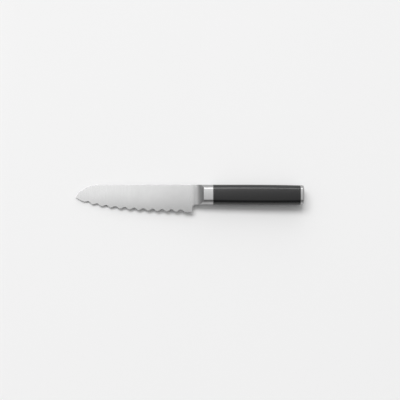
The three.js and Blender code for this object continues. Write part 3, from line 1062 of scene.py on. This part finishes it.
class KNIFE_OT_blade(bpy.types.Operator):
    """Make the ground blade with its serrated edge, neck and tang"""
    bl_idname = "knife.blade"
    bl_label = "Blade"

    def execute(self, context):
        blade, handle, _ = settings()
        form = BladeForm(blade, handle)
        line = belly_line(blade, form.heel_x)
        links = [(i, i + 1) for i in range(len(line) - 1)]
        steel = satin_ground_steel(blade.steel, form.scoop_x)
        tree, identifiers = wave_tree()
        depths = {"plain_edge": (0.0, 0.0), "waved_edge": (blade.wave_depth_heel, blade.wave_depth_tip)}
        edges = {}
        for name, (heel_depth, tip_depth) in depths.items():
            helper = run_tree(name, mesh_from(name, line, [], links), tree, identifiers, {
                "Steps": 600, "Pitch": blade.wave_pitch, "Waves": blade.wave_count,
                "Plain heel": blade.heel_plain, "Heel depth": heel_depth, "Tip depth": tip_depth,
                "Material": steel,
            })
            edges[name] = [v.co.to_2d() for v in helper.data.vertices]
            drop_object(helper)
        form.measure_edge(edges["plain_edge"])
        edge = edges["waved_edge"]
        piece = link_object("knife_blade", blade_mesh(form, handle, edge))
        piece.data.materials.append(steel)
        hand_over(piece, "blade")
        return {"FINISHED"}


class KNIFE_OT_bolster(bpy.types.Operator):
    """Make the scooped steel bolster"""
    bl_idname = "knife.bolster"
    bl_label = "Bolster"

    def execute(self, context):
        blade, handle, _ = settings()
        form = BladeForm(blade, handle)
        steel = brushed_fitting_steel(handle.fitting)
        section = handle_section(handle.front_height, handle.front_flat, handle, steel=True)
        tree, identifiers = sweep_tree()
        piece = run_tree("knife_bolster", section_mesh("section", [section] * 3), tree, identifiers, {
            "Front": BOLSTER_LOW.x, "Rear": BOLSTER_HIGH.x,
            "Swell place": (BOLSTER_LOW.x + BOLSTER_HIGH.x) / 2, "Stations": 24,
            "Axis": (0, AXIS_Y, AXIS_Z), "Butt drop": 0.0, "Material": steel,
        })
        ease_rims(piece, handle)
        reach = handle.front_height
        slot_z = HALF_SPINE + handle.braze_gap
        tang_y = handle.tang_height / 2 + handle.fit_gap
        cutters = []
        for side in (1, -1):
            z = AXIS_Z + side * (HALF_SPINE + form.scoop_radius)
            cutters.append(round_cutter(
                form.scoop_radius, (form.scoop_x, AXIS_Y - reach, z), (form.scoop_x, AXIS_Y + reach, z), 360
            ))
        cutters.append(box_cutter(
            (BOLSTER_LOW.x - MM, AXIS_Y - reach, AXIS_Z - slot_z),
            (form.shoulder_x, AXIS_Y + reach, AXIS_Z + slot_z),
        ))
        cutters.append(box_cutter(
            (form.shoulder_x - MM, AXIS_Y - tang_y, AXIS_Z - slot_z),
            (BOLSTER_HIGH.x + MM, AXIS_Y + tang_y, AXIS_Z + slot_z),
        ))
        carve(piece, cutters)
        merge_and_smooth(piece)
        hand_over(piece, "bolster")
        return {"FINISHED"}


class KNIFE_OT_grip(bpy.types.Operator):
    """Make the black grip with its tang slot and clamp bore"""
    bl_idname = "knife.grip"
    bl_label = "Grip"

    def execute(self, context):
        _, handle, _ = settings()
        composite = black_fibre_composite(handle.composite)
        sections = [
            handle_section(handle.front_height, handle.front_flat, handle),
            handle_section(handle.swell_height, handle.swell_flat, handle),
            handle_section(handle.rear_height, handle.rear_flat, handle),
        ]
        tree, identifiers = sweep_tree()
        piece = run_tree("knife_grip", section_mesh("section", sections), tree, identifiers, {
            "Front": GRIP_LOW.x, "Rear": GRIP_HIGH.x,
            "Swell place": GRIP_LOW.x + handle.swell_from_front, "Stations": 64,
            "Axis": (0, AXIS_Y, AXIS_Z), "Butt drop": handle.butt_drop, "Material": composite,
        })
        ease_rims(piece, handle)
        gap = handle.fit_gap
        slot_y = (RESIN_HIGH.y - RESIN_LOW.y) / 2 + gap
        slot_z = (RESIN_HIGH.z - RESIN_LOW.z) / 2 + gap
        slot_end = STUD_LOW.x
        past_butt = GRIP_HIGH.x + MM
        cutters = [
            box_cutter(
                (GRIP_LOW.x - MM, AXIS_Y - slot_y, AXIS_Z - slot_z),
                (slot_end, AXIS_Y + slot_y, AXIS_Z + slot_z),
            ),
            round_cutter(
                STUD_RADIUS + gap, (slot_end - MM, AXIS_Y, AXIS_Z), (past_butt, AXIS_Y, AXIS_Z), 48
            ),
            round_cutter(
                WASHER_RADIUS + gap, (WASHER_LOW.x, AXIS_Y, AXIS_Z), (past_butt, AXIS_Y, AXIS_Z), 64
            ),
        ]
        cutters += dowel_cutters(handle, DOWEL_LOW.x, past_butt)
        carve(piece, cutters)
        merge_and_smooth(piece)
        hand_over(piece, "grip")
        return {"FINISHED"}


class KNIFE_OT_end_cap(bpy.types.Operator):
    """Make the steel end cap with its spigot"""
    bl_idname = "knife.end_cap"
    bl_label = "End cap"

    def execute(self, context):
        _, handle, _ = settings()
        steel = bpy.data.materials["brushed_stainless_steel"]
        drop_y = AXIS_Y - handle.butt_drop
        stations = [(GRIP_HIGH.x, handle.edge_break), (GRIP_HIGH.x + handle.edge_break, 0.0)]
        steps = 8
        for step in range(steps + 1):
            turn = math.pi / 2 * step / steps
            x = CAP_HIGH.x - handle.cap_round * (1 - math.sin(turn))
            stations.append((x, handle.cap_round * (1 - math.cos(turn))))
        points = []
        for x, inset in stations:
            section = handle_section(handle.rear_height, handle.rear_flat, handle, steel=True, inset=inset)
            points += [(x, drop_y + y, AXIS_Z + z) for y, z in section]
        count = len(section)
        faces = []
        for ring in range(len(stations) - 1):
            for i in range(count):
                a, b = ring * count + i, ring * count + (i + 1) % count
                faces.append((a, b, b + count, a + count))
        faces.append(tuple(reversed(range(count))))
        faces.append(tuple(range((len(stations) - 1) * count, len(stations) * count)))
        piece = link_object("knife_end_cap", mesh_from("knife_end_cap", points, faces))
        piece.data.materials.append(steel)
        merge_and_smooth(piece)
        spigot = round_cutter(
            WASHER_RADIUS, (CAP_LOW.x, AXIS_Y, AXIS_Z), (GRIP_HIGH.x + MM, AXIS_Y, AXIS_Z), 64
        )
        carve(piece, [spigot], "UNION")
        carve(piece, dowel_cutters(handle, GRIP_HIGH.x - MM, DOWEL_HIGH.x))
        merge_and_smooth(piece)
        hand_over(piece, "end_cap")
        return {"FINISHED"}


class KNIFE_OT_inner_pieces(bpy.types.Operator):
    """Give the hidden clamp, dowels and resin their finishes"""
    bl_idname = "knife.inner_pieces"
    bl_label = "Inner pieces"

    def execute(self, context):
        steel = turned_steel()
        finishes = {"tang_resin": cast_resin()}
        for node in ("tang_stud", "clamp_washer", "clamp_nut", "cap_dowel_upper", "cap_dowel_lower"):
            finishes[node] = steel
        for node, material in finishes.items():
            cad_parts[node].material_slots[0].material = material
        return {"FINISHED"}


class KNIFE_PT_panel(bpy.types.Panel):
    """Lists the pieces of the knife and their sizes"""
    bl_idname = "KNIFE_PT_panel"
    bl_label = "Serrated knife"
    bl_space_type = "VIEW_3D"
    bl_region_type = "UI"
    bl_category = "Knife"

    def draw(self, context):
        for operator in OPERATORS:
            self.layout.operator(operator.bl_idname)
        for group in (context.scene.knife_blade, context.scene.knife_handle, context.scene.knife_stage):
            box = self.layout.box()
            for name in group.bl_rna.properties.keys():
                if name not in ("rna_type", "name"):
                    box.prop(group, name)


GROUPS = {"knife_blade": BladeSettings, "knife_handle": HandleSettings, "knife_stage": StageSettings}
OPERATORS = (
    KNIFE_OT_stage, KNIFE_OT_blade, KNIFE_OT_bolster, KNIFE_OT_grip, KNIFE_OT_end_cap, KNIFE_OT_inner_pieces,
)


def register():
    for cls in (*GROUPS.values(), *OPERATORS, KNIFE_PT_panel):
        bpy.utils.register_class(cls)
    for name, cls in GROUPS.items():
        setattr(bpy.types.Scene, name, PointerProperty(type=cls))


def unregister():
    for name in GROUPS:
        delattr(bpy.types.Scene, name)
    for cls in (KNIFE_PT_panel, *reversed(OPERATORS), *GROUPS.values()):
        bpy.utils.unregister_class(cls)


def main():
    register()
    bpy.ops.knife.stage()
    bpy.ops.knife.blade()
    bpy.ops.knife.bolster()
    bpy.ops.knife.grip()
    bpy.ops.knife.end_cap()
    bpy.ops.knife.inner_pieces()


if __name__ == "__main__":
    main()
